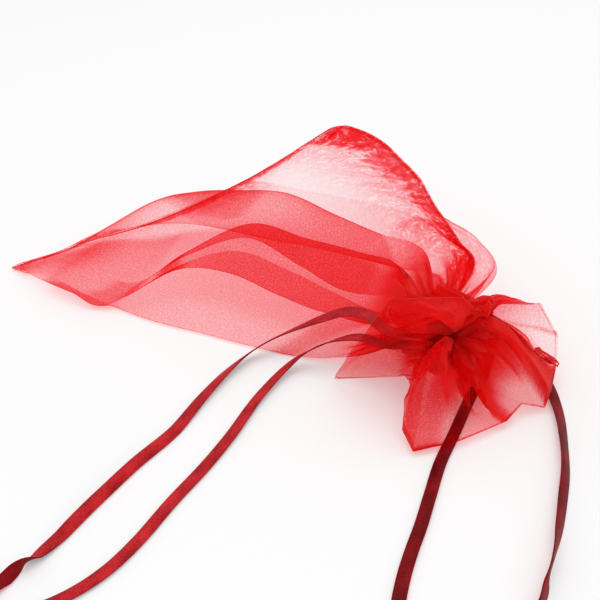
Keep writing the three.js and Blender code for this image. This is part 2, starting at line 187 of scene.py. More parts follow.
# Each panel's lines: the front from the near fold to the far seam, the back from there to the near fold
FRONT_LINES = [NEAR_FOLD, CREST_B, VALLEY_B, CREST_A, VALLEY_A, SADDLE, CREST_TOP, TROUGH, SAIL, FAR_SEAM]
BACK_LINES = [FAR_SEAM, SAIL_BACK, FLOOR_FAR, FLOOR_NEAR, NEAR_FOLD]

# Frill round the neck: angle, edge (photo x, photo y, height in mm), crown in mm, bunching at crown and edge
FRILL = [
    (180, (334, 379, 0.8), (-5, -12.5, -2.5), (2, 1.6)),
    (162, (352, 352, 10), (-3, -12.5, 2), (1.3, 1.3)),
    (140, (371, 325, 18), (0, -13, 6), (1.5, 2)),
    (122, (391, 299, 25), (2.2, -13.4, 8.4), (2.8, 3.4)),
    (104, (425, 297, 25), (6.5, -7.8, 8.4), (6, 6)),
    (86, (463, 297, 24), (8.8, 1.1, 6.4), (6, 6)),
    (72, (478, 312, 18), (8, 4, 7), (6, 4)),
    (54, (483, 304, 9), (4, 9, 5), (3, 1)),
    (36, (541, 303, 14), (6, 10, 5), (1.9, 0.9)),
    (25, (555, 329, 9.2), (7.6, 10, 2.7), (1.6, 0.5)),
    (22, (558, 334, 8.5), (8, 10, 2), (2.4, 1.4)),
    (19, (558, 338, 7.8), (8.1, 9.9, 1.7), (1.6, 0.35)),
    (9, (558, 351, 5.8), (8.6, 9.5, 0.8), (1.8, 0.3)),
    (0, (557, 364, 4), (9, 9, 0), (2.4, 0.35)),
    (-18, (551, 392, 4), (10.3, 5.8, 4.4), (10, 8)),
    (-36, (545, 408, 1.4), (12, 5, -2), (6, 0.7)),
    (-50, (522, 404, 3), (11.4, 1.4, -3.8), (7, 0.8)),
    (-57, (514, 413, 2.3), (12.4, -1.2, -5.4), (7, 1.2)),
    (-63, (507, 421, 1.7), (13, -3.2, -7.4), (10, 6)),
    (-66, (501.5, 423.5, 1.7), (13, -3.6, -7.3), (2.4, 1)),
    (-90, (460, 441, 1.7), (12, -6.6, -4.4), (2.1, 1.1)),
    (-97, (445, 445, 1.5), (11, -7.6, -1.7), (9, 1.2)),
    (-102, (434, 447, 1.4), (10.4, -8.6, -0.8), (3.8, 2.7)),
    (-112, (413, 452, 1.2), (9, -11, 1), (3.4, 3)),
    (-126, (402, 430, 2.4), (7, -11.5, 2.4), (2.6, 3.4)),
    (-140, (405, 400, 8), (5, -10, -1), (2.6, 3.2)),
    (-153, (412, 378, 10), (4, -10, -4), (3, 2)),
    (-166, (413, 376, 9), (0, -12, -5), (2.4, 1.1)),
    (-180, (334, 379, 0.8), (-5, -12.5, -2.5), (2, 1.6)),
]
CROWN_SHARE = 0.45
PAST_CROWN = (0.42, 0.88)
FLUTES = 15
FLUTE_DEPTH = 2.2 * MM
FLUTE_ROUNDNESS = 0.8
FLUTE_PHASE = 1.9
FLUTES_START = (12, 50)
FLUTES_END = 1 / 1.2

# Bunched cloth: from fold line to fold line, shares of the length where it starts and ends on both, density
BODY_BUNCH = [
    (NEAR_FOLD, SADDLE, (0, 0), (0.13, 0.13), 0.4),
    (NEAR_FOLD, CREST_B, (0.1, 0.1), (0.34, 0.34), 1.8),
    (NEAR_FOLD, CREST_B, (0.36, 0.36), (1, 1), 0.88),
    (NEAR_FOLD, CREST_B, (0.73, 0.89), (0.78, 0.97), 3.4),
    (CREST_B, VALLEY_B, (0.4, 0.4), (1, 1), 2.6),
    (VALLEY_B, CREST_A, (0.4, 0.4), (1, 1), 3.5),
    (CREST_A, VALLEY_A, (0.4, 0.4), (0.85, 0.85), 4.2),
    (VALLEY_A, CREST_TOP, (0.36, 0.36), (1, 1), 1.7),
    (CREST_TOP, TROUGH, (0.2, 0.2), (0.8, 0.8), 2.4),
    (CREST_B, SADDLE, (0.1, 0.1), (0.36, 0.36), 2.4),
    (CREST_B, VALLEY_A, (0.24, 0.28), (0.46, 0.42), 2.2),
    (SADDLE, CREST_TOP, (0.13, 0.13), (0.36, 0.36), 1.35),
    (SADDLE, CREST_TOP, (0.46, 0.24), (0.5, 0.52), 2.2),
    (TROUGH, SAIL, (0, 0), (0.7, 0.7), 0.5),
    (SAIL, FAR_SEAM, (0, 0), (0.7, 0.7), 0.45),
    (FAR_SEAM, SAIL_BACK, (0, 0), (0.97, 0.97), 0.25),
    (SAIL_BACK, FLOOR_FAR, (0.6, 0.6), (1, 1), 0.5),
]
BUNCH_BLUR = 0.015
ROW_BUNCH = (0.8, 3.5)
NECK_BUNCH = 3.2
NECK_BUNCH_STARTS = 0.85
NECK_BUNCH_ENDS = 0.45

# Neck: pleats round it, and the radii of the cloth outside and inside the ribbons
PLEATS = 22
NECK_OUTER = 6.6 * MM
NECK_PLEAT = 2.6 * MM
NECK_INNER = 5.4 * MM
INNER_PLEAT = 4.6 * MM
GATHER_STARTS = 0.84
LAYER_GAP = 0.4 * MM

# Seams: cloth turned inside, and the thread that wraps its edge
BOTTOM_ROWS = 7
SIDE_COLUMNS = 9
BOTTOM_BUNCH = 2.4
TIP_SHARE = 0.2
TIP_FADE = (0.5, 0.8)
SIDE_BUNCH = 1.4
CORNER_BUNCH = 3
CORNER_FADE = (0.06, 0.3)
RAGGED_DEPTH = 0.4
RAGGED_SIZE = 2.5
RAGGED_SEED = 5.5
RAGGED_FADE = (0.5, 1)
STRIP_CREASE = 0.5
OVERLOCK_PITCH = 0.9 * MM
OVERLOCK_DEPTH = 0.8 * MM
OVERLOCK_HEIGHT = 0.2 * MM
NEEDLE_SWAY = 0.12 * MM
LOOP_POINTS = 10
UNEVEN_TURN = 1.6
UNEVEN_SIZE = 2
UNEVEN_SEED = 7.5
THREAD_RADIUS = 0.065 * MM
CASING_STITCHES = 80
STITCH_DIP = 0.6
SEAM_END_ROWS = 5
SEAM_END_PITCH = 0.6 * MM
SEAM_END_DEPTH = 1.6 * MM
SEAM_END_HEIGHT = 0.9 * MM
SEAM_END_RADIUS = 0.17 * MM

# Creases beside the seams: reach in mm and strength, and crinkles as (height in mm, size in mm, seed)
SEAM_CREASE_REACH = 18
SEAM_CREASE_ENDS = (95, 120)
BACK_CREASE = 0.35
BOTTOM_CREASE = 0.6
BOTTOM_CREASE_REACH = 9
TIP_CREASE_LOSS = 0.7
TIP_CREASE_FADE = (30, 60)
FLAT_BESIDE_SIDE = 3.5
FLAT_BESIDE_BOTTOM = 2.5
CRINKLES = [(0.8, 5, 0.5), (0.4, 2.2, 3.5)]


# Points and curves

FINE_STEPS = 8


def photo_point(x, y, height):
    """Place in the row frame of a photograph point that lies at a height in millimetres."""
    slope = (y - PHOTO_SIZE / 2) / FOCAL_PIXELS
    sine, cosine = math.sin(CAMERA_TILT), math.cos(CAMERA_TILT)
    depth = (CAMERA[2] - height * MM) / (sine + slope * cosine)
    side = (x - PHOTO_SIZE / 2) / FOCAL_PIXELS * depth
    return np.array([CAMERA[0] + side, CAMERA[1] + depth * (cosine - slope * sine), height * MM])


def smoothstep(start, end, value):
    share = np.clip((value - start) / (end - start), 0, 1)
    return share * share * (3 - 2 * share)


def spline(knots, points, wanted):
    """Smooth curve through points at the given knots, read at the wanted values."""
    knots = np.asarray(knots, float)
    points = np.asarray(points, float)
    wanted = np.asarray(wanted, float)
    slopes = np.gradient(points, knots, axis=0)
    index = np.clip(np.searchsorted(knots, wanted, side="right") - 1, 0, len(knots) - 2)
    span = (knots[index + 1] - knots[index])[:, None]
    t = (wanted - knots[index])[:, None] / span
    return ((2 * t**3 - 3 * t**2 + 1) * points[index] + (t**3 - 2 * t**2 + t) * span * slopes[index]
            + (3 * t**2 - 2 * t**3) * points[index + 1] + (t**3 - t**2) * span * slopes[index + 1])


def chord_knots(points, power=1.0):
    """Distance along a line of points at each of them."""
    steps = np.linalg.norm(np.diff(points, axis=0), axis=1) ** power
    return np.concatenate([[0], np.cumsum(steps)])


def along_line(line, values, wanted):
    """Values given at the points of a line, read at wanted distances along it."""
    knots = chord_knots(line)
    return np.stack([np.interp(wanted, knots, values[:, axis]) for axis in range(3)], axis=1)


def smooth_path(points, count):
    """Evenly spaced points on a smooth curve through the given ones."""
    knots = chord_knots(points, 0.5)
    fine = spline(knots, points, np.linspace(0, knots[-1], FINE_STEPS * count))
    return along_line(fine, fine, np.linspace(0, chord_knots(fine)[-1], count))


def unit(vectors):
    return vectors / np.maximum(np.linalg.norm(vectors, axis=-1, keepdims=True), 1e-12)


def rough(points, scale, seed):
    """Smooth random values from -1 to 1 at points given in millimetres."""
    flat = np.asarray(points, float).reshape(-1, 2) / scale
    values = [noise.noise(Vector((x, y, seed))) for x, y in flat]
    return np.array(values).reshape(np.shape(points)[:-1])


# Camera

camera_data = bpy.data.cameras.new("photo_camera")
camera_data.angle = 2 * math.atan(PHOTO_SIZE / 2 / FOCAL_PIXELS)
camera_data.clip_start = CAMERA_NEAR
camera = bpy.data.objects.new("photo_camera", camera_data)
camera.location = CAMERA
camera.rotation_euler = (math.pi / 2 - CAMERA_TILT, 0, 0)
bpy.context.scene.collection.objects.link(camera)
bpy.context.scene.camera = camera


# Shapes: each is points, faces and a pair of cloth coordinates in mm for each corner of each face

# A direction that no thread runs along, to turn the threads' sections by
THREAD_UP = UP + 0.3 * MOUTH


def grid_shape(points, cloth, closed):
    """Shape of a grid of points. cloth: coordinates of the points, with one more column if closed."""
    rows, columns = points.shape[:2]
    row = np.arange(rows - 1)[:, None]
    column = np.arange(columns if closed else columns - 1)
    after = (column + 1) % columns
    faces = np.stack([row * columns + column, row * columns + after, (row + 1) * columns + after,
                      (row + 1) * columns + column], axis=-1).reshape(-1, 4)
    corners = np.stack([cloth[:-1, :-1], cloth[:-1, 1:], cloth[1:, 1:], cloth[1:, :-1]], axis=2)
    return points.reshape(-1, 3), faces.tolist(), corners.reshape(-1, 2)


def merged(shapes):
    points, faces, uvs = [], [], []
    first = 0
    for shape_points, shape_faces, shape_uvs in shapes:
        points.append(shape_points)
        faces += [[first + corner for corner in face] for face in shape_faces]
        uvs.append(shape_uvs)
        first += len(shape_points)
    return np.concatenate(points), faces, np.concatenate(uvs)


def swept_shape(line, across, out, rim):
    """Section with the given rim, carried along a line and capped at its ends."""
    rings = [line + x * across + y * out for x, y in rim]
    points = np.stack(rings, axis=1)
    length = chord_knots(line) / MM
    round_ = chord_knots(np.array(list(rim) + [rim[0]])) / MM
    cloth = np.stack(np.meshgrid(round_ - round_[-1] / 2, length), axis=-1)
    points, faces, uvs = grid_shape(points, cloth, closed=True)
    sides = len(rim)
    last = len(points) - sides
    faces.append(list(range(sides))[::-1])
    faces.append([last + corner for corner in range(sides)])
    return points, faces, np.concatenate([uvs, np.zeros((2 * sides, 2))])


def tube_shape(line, radius, sides=5):
    along = unit(np.gradient(line, axis=0))
    across = unit(np.cross(along, THREAD_UP))
    turns = np.arange(sides) * 2 * math.pi / sides
    rim = [(radius * math.cos(turn), radius * math.sin(turn)) for turn in turns]
    return swept_shape(line, across, np.cross(along, across), rim)


def ribbon_shape(line, across, width=RIBBON_WIDTH):
    along = unit(np.gradient(line, axis=0))
    out = unit(np.cross(along, across))
    wide, thick = width / 2, RIBBON_THICKNESS / 2
    cut = RIBBON_THICKNESS / 4
    rim = [(-wide, -thick + cut), (-wide + cut, -thick), (wide - cut, -thick), (wide, -thick + cut),
           (wide, thick - cut), (wide - cut, thick), (-wide + cut, thick), (-wide, thick - cut)]
    return swept_shape(line, across, out, rim)


def mesh_piece(name, shape, material, node=None):
    """New mesh object in the row frame, in place of a node."""
    points, faces, uvs = shape
    mesh = bpy.data.meshes.new(name)
    mesh.from_pydata([tuple(point) for point in points], [], faces)
    mesh.update()
    layer = mesh.uv_layers.new(name="cloth_mm")
    layer.data.foreach_set("uv", np.asarray(uvs, np.float32).ravel())
    mesh.materials.append(material)
    mesh.polygons.foreach_set("use_smooth", [True] * len(mesh.polygons))
    piece = bpy.data.objects.new(name, mesh)
    bpy.context.scene.collection.objects.link(piece)
    if node:
        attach(piece, "root")
        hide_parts(node)
    return piece


# Materials

class Nodes:
    """A new material's node tree, with short helpers."""

    def __init__(self, name):
        self.material = bpy.data.materials.new(name)
        self.material.use_nodes = True
        self.tree = self.material.node_tree
        self.tree.nodes.clear()

    def add(self, kind, **settings):
        node = self.tree.nodes.new(kind)
        for key, value in settings.items():
            setattr(node, key, value)
        return node

    def link(self, source, target):
        self.tree.links.new(source, target)

    def attribute(self, name):
        return self.add("ShaderNodeAttribute", attribute_name=name).outputs["Fac"]

    def cloth_axes(self):
        """The two cloth coordinates, across and along."""
        uv = self.add("ShaderNodeUVMap", uv_map="cloth_mm")
        split = self.add("ShaderNodeSeparateXYZ")
        self.link(uv.outputs[0], split.inputs[0])
        return split.outputs["X"], split.outputs["Y"]

    def math(self, operation, first, second=None):
        node = self.add("ShaderNodeMath", operation=operation)
        for socket, value in zip(node.inputs, (first, second)):
            if value is None:
                continue
            if isinstance(value, (int, float)):
                socket.default_value = value
            else:
                self.link(value, socket)
        return node.outputs[0]

    def noise(self, scale, detail, distortion=0.0):
        """Noise over the cloth coordinates, stretched by a pair of scales."""
        uv = self.add("ShaderNodeUVMap", uv_map="cloth_mm")
        place = self.add("ShaderNodeMapping")
        place.inputs["Scale"].default_value = (*scale, 1)
        self.link(uv.outputs[0], place.inputs["Vector"])
        texture = self.add("ShaderNodeTexNoise")
        texture.inputs["Scale"].default_value = 1.0
        texture.inputs["Detail"].default_value = detail
        texture.inputs["Distortion"].default_value = distortion
        self.link(place.outputs[0], texture.inputs["Vector"])
        return texture.outputs[0]

    def choose(self, second_wanted, first, second):
        """One of two colours."""
        node = self.add("ShaderNodeMix", data_type="RGBA")
        self.link(second_wanted, node.inputs["Factor"])
        colours = [socket for socket in node.inputs if socket.type == "RGBA"]
        self.link(first, colours[0])
        self.link(second, colours[1])
        return next(socket for socket in node.outputs if socket.type == "RGBA")

    def mix(self, share, first, second):
        """A mix of two shaders."""
        node = self.add("ShaderNodeMixShader")
        if isinstance(share, float):
            node.inputs["Fac"].default_value = share
        else:
            self.link(share, node.inputs["Fac"])
        self.link(first, node.inputs[1])
        self.link(second, node.inputs[2])
        return node.outputs[0]

    def finish(self, shader):
        out = self.add("ShaderNodeOutputMaterial")
        self.link(shader, out.inputs["Surface"])
        return self.material


# Organza: thread spacing in mm, what one flat layer lets through, and what makes it denser
THREAD_PITCH = 0.3
LAYER_TINT = (0.997, 0.85, 0.86)
LAYER_OPEN = 0.985
LEAST_FACING = 0.12
FIBRE_COLOUR = (0.96, 0.012, 0.011, 1)
FIBRE_ROUGHNESS = 0.45
FIBRE_SHEEN = 0.1
FIBRE_GLOW = 0.7
WEAVE_DENSITY = 0.3
SLUB_SCALE = (3.0, 0.12)
SLUB_DENSITY = 0.6
SPECK_SCALE = (2.2, 2.2)
SPECK_DENSITY = 0.6
SPECK_CONTRAST = 3.8
STREAK_SCALE = (0.42, 0.3)
STREAK_SWIRL = 0.9
STREAK_SHARPNESS = 7.0
STREAK_DENSITY = 7.5
CREASE_DENSITY = 1.4


def organza_material():
    """Sheer red cloth: each layer tints what is behind it, more so edge-on and where it is bunched up."""
    nodes = Nodes("organza")

    # Plain weave: two sets of threads, and slubs that make single threads heavier
    threads = []
    for axis in nodes.cloth_axes():
        turn = nodes.math("MULTIPLY", axis, 2 * math.pi / THREAD_PITCH)
        threads.append(nodes.math("SINE", turn))
    weave = nodes.math("MULTIPLY", nodes.math("MAXIMUM", *threads), WEAVE_DENSITY)
    slub = nodes.math("MULTIPLY", nodes.noise(SLUB_SCALE, 3.0), SLUB_DENSITY)

    # Specks, which even out where the cloth is bunched
    gather = nodes.attribute("gather")
    speck = nodes.math("SUBTRACT", nodes.noise(SPECK_SCALE, 2.0), 0.5)
    speck = nodes.math("MULTIPLY", speck, SPECK_CONTRAST)
    speck = nodes.math("DIVIDE", speck, nodes.math("SQRT", gather))
    speck = nodes.math("MAXIMUM", nodes.math("ADD", speck, SPECK_DENSITY), 0.0)
    density = nodes.math("ADD", nodes.math("ADD", weave, slub), speck)

    # Creased streaks beside the seams
    streak = nodes.noise(STREAK_SCALE, 6.0, STREAK_SWIRL)
    ridge = nodes.math("ABSOLUTE", nodes.math("SUBTRACT", streak, 0.5))
    ridge = nodes.math("SUBTRACT", 1.0, nodes.math("MULTIPLY", ridge, STREAK_SHARPNESS))
    ridge = nodes.math("MULTIPLY", nodes.math("MAXIMUM", ridge, 0.0), STREAK_DENSITY)
    ridge = nodes.math("ADD", ridge, CREASE_DENSITY)
    density = nodes.math("ADD", density, nodes.math("MULTIPLY", ridge, nodes.attribute("crush")))

    # Thread that light meets on its way through, more where the cloth is edge-on
    slant = nodes.add("ShaderNodeLayerWeight")
    slant.inputs["Blend"].default_value = 0.5
    facing = nodes.math("MAXIMUM", nodes.math("SUBTRACT", 1.0, slant.outputs["Facing"]), LEAST_FACING)
    path = nodes.math("DIVIDE", nodes.math("MULTIPLY", density, gather), facing)
    tint = nodes.add("ShaderNodeCombineColor")
    for channel, passed in zip(("Red", "Green", "Blue"), LAYER_TINT):
        nodes.link(nodes.math("POWER", passed, path), tint.inputs[channel])
    clear = nodes.add("ShaderNodeBsdfTransparent")
    nodes.link(tint.outputs[0], clear.inputs["Color"])

    # The fibres themselves, lit from both sides
    fibre = nodes.add("ShaderNodeBsdfPrincipled")
    fibre.inputs["Base Color"].default_value = FIBRE_COLOUR
    fibre.inputs["Roughness"].default_value = FIBRE_ROUGHNESS
    fibre.inputs["Sheen Weight"].default_value = FIBRE_SHEEN
    glow = nodes.add("ShaderNodeBsdfTranslucent")
    glow.inputs["Color"].default_value = FIBRE_COLOUR
    yarn = nodes.mix(FIBRE_GLOW, fibre.outputs[0], glow.outputs[0])
    cover = nodes.math("POWER", LAYER_OPEN, nodes.math("MULTIPLY", path, gather))
    cover = nodes.math("SUBTRACT", 1.0, cover)
    return nodes.finish(nodes.mix(cover, clear.outputs[0], yarn))


# Ribbon and thread: (dark, light) shades, and how they vary along the yarn. The ribbon is one satin in two
# copies: its under side darker with painted shade, its upper side lighter with painted sheen
PAINTED_SHADE_SIDE = ((0.1, 0.001, 0.002), (0.3, 0.004, 0.008))
PAINTED_SHEEN_SIDE = ((0.28, 0.004, 0.008), (0.68, 0.024, 0.03))
THREAD_SHADES = ((0.7, 0.012, 0.014), (0.95, 0.04, 0.042))
SHADE_RANGE = (0.3, 0.72)
# Broad patches along the yarn: on the ribbon they are painted satin sheen, on the thread tone that differs at
# random
PATCH_SCALE = (0.3, 0.16)
PATCH_CONTRAST = 0.7
YARN_BUMP = 0.4
YARN_GLOSS = 0.07


def shade_ramp(nodes, value, shades):
    """Colour between a dark and a light shade."""
    ramp = nodes.add("ShaderNodeValToRGB")
    for element, position, shade in zip(ramp.color_ramp.elements, SHADE_RANGE, shades):
        element.position = position
        element.color = (*shade, 1)
    nodes.link(value, ramp.inputs["Fac"])
    return ramp.outputs["Color"]


def yarn_material(name, sides, scale, depth, roughness):
    """Dyed yarn: streaks of two shades, raised a little. sides: shades of the under and upper side; on the
    ribbon the under side's shades are painted shade and the upper side's painted sheen.
    """
    nodes = Nodes(name)
    grain = nodes.noise(scale, 4.0)
    # Broad patches: painted sheen on the ribbon, random tone on the thread
    patch = nodes.math("SUBTRACT", nodes.noise(PATCH_SCALE, 1.0), 0.5)
    streak = nodes.math("ADD", grain, nodes.math("MULTIPLY", patch, PATCH_CONTRAST))
    across, _ = nodes.cloth_axes()
    # The upper side takes the second shades, on the ribbon the lighter copy with painted sheen; the under
    # side takes the darker copy with painted shade
    is_upper = nodes.math("GREATER_THAN", across, 0.0)
    colour = nodes.choose(is_upper, *[shade_ramp(nodes, streak, shades) for shades in sides])
    bump = nodes.add("ShaderNodeBump")
    bump.inputs["Strength"].default_value = YARN_BUMP
    bump.inputs["Distance"].default_value = depth
    nodes.link(grain, bump.inputs["Height"])
    yarn = nodes.add("ShaderNodeBsdfPrincipled")
    yarn.inputs["Roughness"].default_value = roughness
    yarn.inputs["Specular IOR Level"].default_value = YARN_GLOSS
    nodes.link(colour, yarn.inputs["Base Color"])
    nodes.link(bump.outputs[0], yarn.inputs["Normal"])
    return nodes.finish(yarn.outputs[0])


ORGANZA = organza_material()
SATIN = yarn_material("satin_ribbon", (PAINTED_SHADE_SIDE, PAINTED_SHEEN_SIDE), (1.3, 5.0), depth=0.1 * MM, roughness=0.45)
THREAD = yarn_material("seam_thread", (THREAD_SHADES, THREAD_SHADES), (6.0, 3.0), depth=0.05 * MM,
                       roughness=0.6)


# Ribbons

RIBBON_STEPS = 220
LOOP_STEPS = 90
KNOT_STEPS = 160
KNOT_END_STEPS = 24
HEADING_POINTS = 8
ENTRY_POINTS = 6
LEFT_SIDE, RIGHT_SIDE = -1, 1


def neck_point(degrees, radius, along):
    """Points round the neck, at an angle from its far side and a distance towards the mouth."""
    angle = np.radians(degrees)
    return (NECK + along * MOUTH + np.multiply.outer(radius * np.cos(angle), FAR)
            + np.multiply.outer(radius * np.sin(angle), UP))


def level_side(line):
    """Level direction across a line at each of its points."""
    along = unit(np.gradient(line, axis=0))
    return unit(np.cross(UP, along))


def tail_line(route, rolls):
    """A tail's run, and how far it is rolled at each point; a rolled ribbon lies higher."""
    line = smooth_path(np.array(route) * MM + NECK_FLOOR, RIBBON_STEPS)
    roll_knots, roll_angles = np.array(rolls, float).T
    roll = np.radians(spline(roll_knots, roll_angles[:, None], np.linspace(0, 1, RIBBON_STEPS)))
    lowest = np.abs(np.sin(roll[:, 0])) * RIBBON_WIDTH / 2 + RIBBON_THICKNESS
    line[:, 2] = np.maximum(line[:, 2], lowest)
    return line, roll


def tail_shape(line, roll):
    along = unit(np.gradient(line, axis=0))
    side = level_side(line)
    return ribbon_shape(line, np.cos(roll) * side + np.sin(roll) * np.cross(along, side))


def loop_shape(side):
    """Ribbon round the neck inside the casing, open where its tails come out."""
    turns = np.linspace(LOOP_GAP, 360 - LOOP_GAP, LOOP_STEPS) + (180 if side == LEFT_SIDE else 0)
    line = neck_point(turns, LOOP_RADIUS, side * LOOP_PITCH / 2)
    return ribbon_shape(line, np.broadcast_to(MOUTH, line.shape))


def knot_shape(runs):
    """Overhand knot where two tails run in, with their loose ends beyond it."""
    back = np.mean([line[-1] for line, _ in runs], axis=0) * LEVEL
    headings = [unit((line[-1] - line[-HEADING_POINTS]) * LEVEL) for line, _ in runs]
    heading = unit(np.sum(headings, axis=0))
    side = np.cross(UP, heading)
    centre = back + heading * (KNOT_GAP + KNOT_LENGTH / 2)
    middle = centre + UP * KNOT_HEIGHT / 2
    through = middle + heading * KNOT_LENGTH / 4

    # The knot's own turns
    turn = np.linspace(0, 2 * math.pi, KNOT_STEPS)
    reach = (2 + np.cos(3 * turn)) / 3 * KNOT_REACH
    line = (middle + np.multiply.outer(reach * np.cos(2 * turn) * KNOT_LENGTH / 2, heading)
            + np.multiply.outer(reach * np.sin(2 * turn) * KNOT_WIDTH / 2, side)
            + np.multiply.outer(KNOT_RISE * KNOT_HEIGHT * np.sin(3 * turn), UP))
    outward = unit((line - centre) * LEVEL)
    lean = unit(KNOT_LEAN_UP * UP + KNOT_LEAN_OUT * outward)
    shapes = [ribbon_shape(line, lean, KNOT_RIBBON * RIBBON_WIDTH)]

    # Each tail's way into the knot, and its loose end
    share = np.linspace(KNOT_END_STARTS, 1, KNOT_END_STEPS)
    drop = KNOT_END_DROP * smoothstep(KNOT_END_LEVEL, 1, share)
    for turn, (line, roll) in zip((-KNOT_END_SPREAD, KNOT_END_SPREAD), runs):
        facing = np.cos(roll[-1])
        entry = smooth_path(np.array([line[-ENTRY_POINTS], line[-1], middle, through]), KNOT_END_STEPS)
        entry = entry[KNOT_END_STEPS // 4:]
        shapes.append(ribbon_shape(entry, facing * level_side(entry), KNOT_ENTRY * RIBBON_WIDTH))
        run = math.cos(turn) * heading + math.sin(turn) * side
        end = (centre + np.multiply.outer(share * (KNOT_END_LENGTH + KNOT_LENGTH / 4), run)
               + np.multiply.outer(KNOT_HEIGHT / 2 * (1 - drop), UP))
        shapes.append(ribbon_shape(end, facing * level_side(end)))
    return merged(shapes)


RIBBONS = [
    ("left", LEFT_SIDE, [("upper", LEFT_UPPER_ROUTE, LEFT_UPPER_ROLL),
                         ("lower", LEFT_LOWER_ROUTE, LEFT_LOWER_ROLL)]),
    ("right", RIGHT_SIDE, [("outer", RIGHT_OUTER_ROUTE, RIGHT_OUTER_ROLL),
                           ("inner", RIGHT_INNER_ROUTE, RIGHT_INNER_ROLL)]),
]
for name, side, tails in RIBBONS:
    runs = [tail_line(route, rolls) for _, route, rolls in tails]
    knot = mesh_piece(f"{name}_knot", knot_shape(runs), SATIN, f"{name}_ribbon_knot")
    mesh_piece(f"{name}_loop", loop_shape(side), SATIN, f"{name}_ribbon_loop")
    for (place, _, _), (line, roll) in zip(tails, runs):
        tail = mesh_piece(f"{name}_{place}_tail", tail_shape(line, roll), SATIN,
                          f"{name}_ribbon_{place}_tail")


# Cloth: its pleats drift from an even spacing in two waves, sized in radians

SLOW_DRIFT = 1.3
SLOW_DRIFT_WAVES = 3
SLOW_DRIFT_PHASE = 0.7
QUICK_DRIFT = 0.9
QUICK_DRIFT_WAVES = 5


def column_angles():
    """Angle round the neck of each column: over the top for the front panel, then below."""
    return 180 - np.arange(COLUMNS) * 360 / COLUMNS


def line_points(places, shares, degrees):
    """Points of a fold line at shares of the body's length, ending on the neck."""
    end = neck_point(degrees, NECK_OUTER, -CASING_WIDTH / 2)
    knots = [place[0] for place in places] + [1]
    points = [photo_point(*place[1:]) for place in places] + [end]
    return spline(knots, points, shares)


def panel_rows(lines, shares, first_angle):
    """Rows of points across a panel, one row at each share of the body's length."""
    columns = [line[0] for line in lines[:-1]]
    passed = np.concatenate([[0], np.cumsum(columns)])
    angles = first_angle - passed * 360 / COLUMNS
    across = np.stack([line_points(line[1], shares, angle) for line, angle in zip(lines, angles)], axis=1)
    rows = []
    for points in across:
        knots = chord_knots(points, 0.5)
        wanted = np.interp(np.arange(passed[-1]), passed, knots)
        rows.append(spline(knots, points, wanted))
    return np.stack(rows)


def surface_normals(rows):
    """Normals of a grid that closes round its columns."""
    down = np.gradient(rows, axis=0)
    round_ = np.roll(rows, -1, axis=1) - np.roll(rows, 1, axis=1)
    return unit(np.cross(round_, down))


def pleat_wave(waves, start=0.0):
    """Height of pleats at each column, from 0 to 1, a little uneven."""
    share = np.arange(COLUMNS) / COLUMNS
    drift = (SLOW_DRIFT * np.sin(2 * math.pi * SLOW_DRIFT_WAVES * share + SLOW_DRIFT_PHASE)
             + QUICK_DRIFT * np.sin(2 * math.pi * QUICK_DRIFT_WAVES * share + start))
    return 0.5 + 0.5 * np.sin(2 * math.pi * waves * share + drift)


def body_rows():
    """Both panels from the bottom seam to the neck, where they draw up into pleats."""
    shares = np.linspace(0, 1, BODY_ROWS)
    rows = np.concatenate([panel_rows(FRONT_LINES, shares, 180), panel_rows(BACK_LINES, shares, 0)], axis=1)
    swell = smoothstep(GATHER_STARTS, 1, shares)[:, None, None] * NECK_PLEAT
    return rows + surface_normals(rows) * swell * pleat_wave(PLEATS)[None, :, None]


def casing_rows():
    """Pleated cloth over the ribbons, from one row of stitches to the other."""
    along = np.linspace(-0.5, 0.5, CASING_ROWS + 1)[1:] * CASING_WIDTH
    radius = NECK_OUTER + NECK_PLEAT * pleat_wave(PLEATS)
    return np.stack([neck_point(column_angles(), radius, place) for place in along])


def round_frill(values):
    """Values of the frill's controls, read at each column."""
    angles = [-control[0] for control in FRILL]
    values = np.asarray(values, float).reshape(len(FRILL), -1)
    return np.stack([np.interp(-column_angles(), angles, column) for column in values.T], axis=1)


def frill_rows(radius):
    """One layer of the frill, from the casing at the given radii over its crown to its edge."""
    start = neck_point(column_angles(), radius, CASING_WIDTH / 2)
    edge = round_frill([photo_point(*control[1]) for control in FRILL])
    # A crown's three measures are towards the mouth, towards the far side and up
    offset = round_frill([control[2] for control in FRILL]) * MM
    crown = NECK + offset @ np.stack([MOUTH, FAR, UP])
    share = np.linspace(0, 1, FRILL_ROWS + 1)[1:, None, None]
    middle = CROWN_SHARE
    rows = (start * (share - middle) * (share - 1) / middle
            + crown * share * (share - 1) / (middle * (middle - 1))
            + edge * share * (share - middle) / (1 - middle))
    crease = np.arcsin(2 * pleat_wave(FLUTES, FLUTE_PHASE) - 1) * 2 / math.pi
    crease *= smoothstep(*FLUTES_START, 180 - np.abs(column_angles()))
    depth = FLUTE_DEPTH * np.sin(math.pi * np.minimum(share / FLUTES_END, 1)) ** FLUTE_ROUNDNESS
    return rows + surface_normals(rows) * depth * crease[None, :, None]


def cloth_grid():
    """All rows of the cloth, from the bottom seam up the outside, over the frill's edge and back inside."""
    inner_radius = NECK_INNER - INNER_PLEAT * pleat_wave(PLEATS)
    along = np.linspace(0.5, -0.5, INNER_CASING_ROWS) * CASING_WIDTH
    inner = np.stack([neck_point(column_angles(), inner_radius, place) for place in along])
    outside = frill_rows(NECK_OUTER + NECK_PLEAT * pleat_wave(PLEATS))
    lining = frill_rows(inner_radius) - LAYER_GAP * surface_normals(outside)
    return np.concatenate([body_rows(), casing_rows(), outside, lining[-2::-1], inner])


